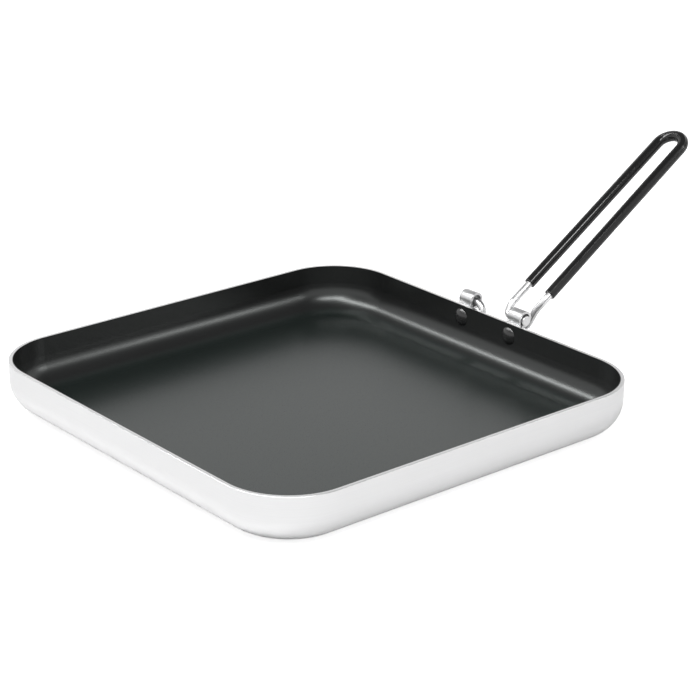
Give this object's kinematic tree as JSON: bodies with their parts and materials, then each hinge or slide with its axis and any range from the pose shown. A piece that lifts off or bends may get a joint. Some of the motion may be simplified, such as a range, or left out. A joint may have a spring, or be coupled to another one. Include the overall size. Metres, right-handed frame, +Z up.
{
  "type": "square frying pan",
  "caption": "Square frying pan of pressed aluminium with a black non-stick inside and a folding wire handle in a soft grip sleeve, hung in riveted eyes on one wall.",
  "frame": {"origin": "centre of the flat underside", "axes": "+Z up, +Y from the pan's middle to the wall that carries the handle, X along that wall"},
  "size_m": [0.28, 0.426, 0.1282],
  "materials": {
    "satin_aluminium": "satin outside, machined bright on the rim",
    "nonstick_black": "baked non-stick coating, semi-matte with a fine grain",
    "strip_steel": "bright rolled strip",
    "coated_rivet": "non-stick coating on the head, bare metal tail",
    "plated_wire": "bright plated wire with fine drawing lines",
    "grip_black": "smooth soft plastic tube, half gloss"
  },
  "bodies": {
    "pan": {"pan_body": "satin_aluminium", "nonstick_coating": "nonstick_black", "hinge_eye_left": "strip_steel", "hinge_eye_right": "strip_steel", "rivet_left": "coated_rivet", "rivet_right": "coated_rivet"},
    "handle": {"handle_wire": "plated_wire", "grip_sleeve": "grip_black"}
  },
  "joints": [
    {"name": "handle_fold", "type": "hinge", "parent": "pan", "child": "handle", "pos_m": [0, 0.1451, 0.033], "axis": [1, 0, 0], "range_deg": [0, 114]}
  ]
}
